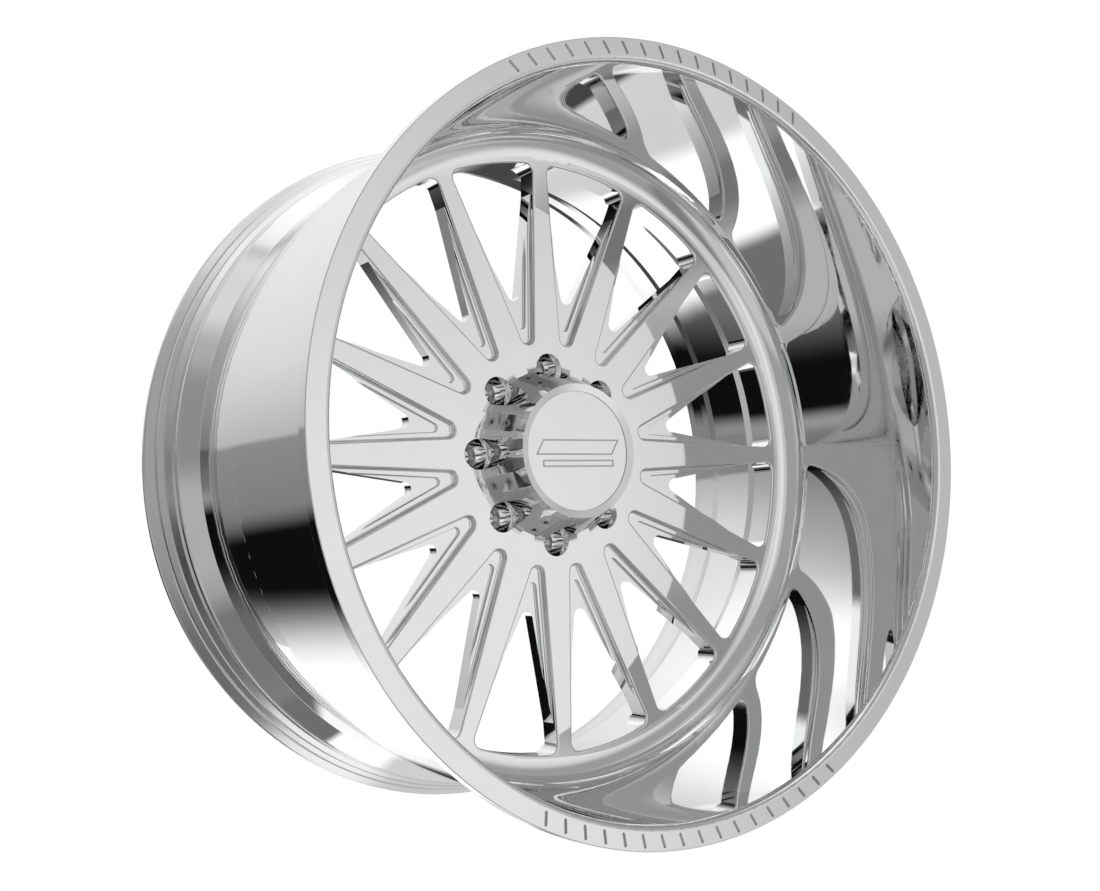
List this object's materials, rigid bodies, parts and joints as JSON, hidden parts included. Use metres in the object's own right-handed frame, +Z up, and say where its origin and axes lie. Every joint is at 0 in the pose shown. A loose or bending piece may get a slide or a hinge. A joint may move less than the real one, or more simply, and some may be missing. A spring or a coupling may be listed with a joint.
{
  "type": "deep dish forged truck wheel",
  "caption": "Polished deep-dish forged wheel with tapered straight spokes, bolt-on drum cap, steel lug seats, and a metal clamp-in tyre valve with a sprung core.",
  "frame": {"origin": "on the wheel's axis, half way between the two flange faces", "axes": "+Y along the axis to the back (hub side), the dished face looks to -Y; +Z up through one lug hole; +X to the right of the face"},
  "size_m": [0.695, 0.3804, 0.695],
  "materials": {
    "polished_aluminium": "mirror polished",
    "turned_aluminium": "machined",
    "weld": "as welded, lightly brushed",
    "seat_steel": "plated",
    "screw_steel": "plated",
    "spring_steel": "drawn wire",
    "valve_brass": "nickel plated brass",
    "seal_rubber": "matt black"
  },
  "bodies": {
    "wheel": {"wheel_face": "polished_aluminium", "rear_barrel": "polished_aluminium", "weld_bead": "weld", "lug_seats": "seat_steel", "cap_body": "polished_aluminium", "cap_set_screws": "screw_steel", "cap_disc": "polished_aluminium", "cap_retainer": "turned_aluminium", "cap_o_ring": "seal_rubber", "cap_ring_screws": "screw_steel", "valve_stem": "valve_brass", "valve_grommet": "seal_rubber", "valve_washer": "screw_steel", "valve_nut": "valve_brass", "valve_core_body": "valve_brass", "valve_core_spring": "spring_steel"},
    "core_pin": {"valve_core_pin": "valve_brass", "valve_core_cup": "seal_rubber"},
    "dust_cap": {"valve_cap": "valve_brass", "valve_cap_seal": "seal_rubber"}
  },
  "joints": [
    {"name": "core_pin_press", "type": "slide", "parent": "wheel", "child": "core_pin", "axis": [0.1149, 0, 0.9934], "range_m": [0, 0.0012], "stiffness_N_per_m": 900, "springref_m": -0.002},
    {"name": "dust_cap_off", "type": "slide", "parent": "wheel", "child": "dust_cap", "axis": [-0.1149, 0, -0.9934], "range_m": [0, 0.014]}
  ]
}
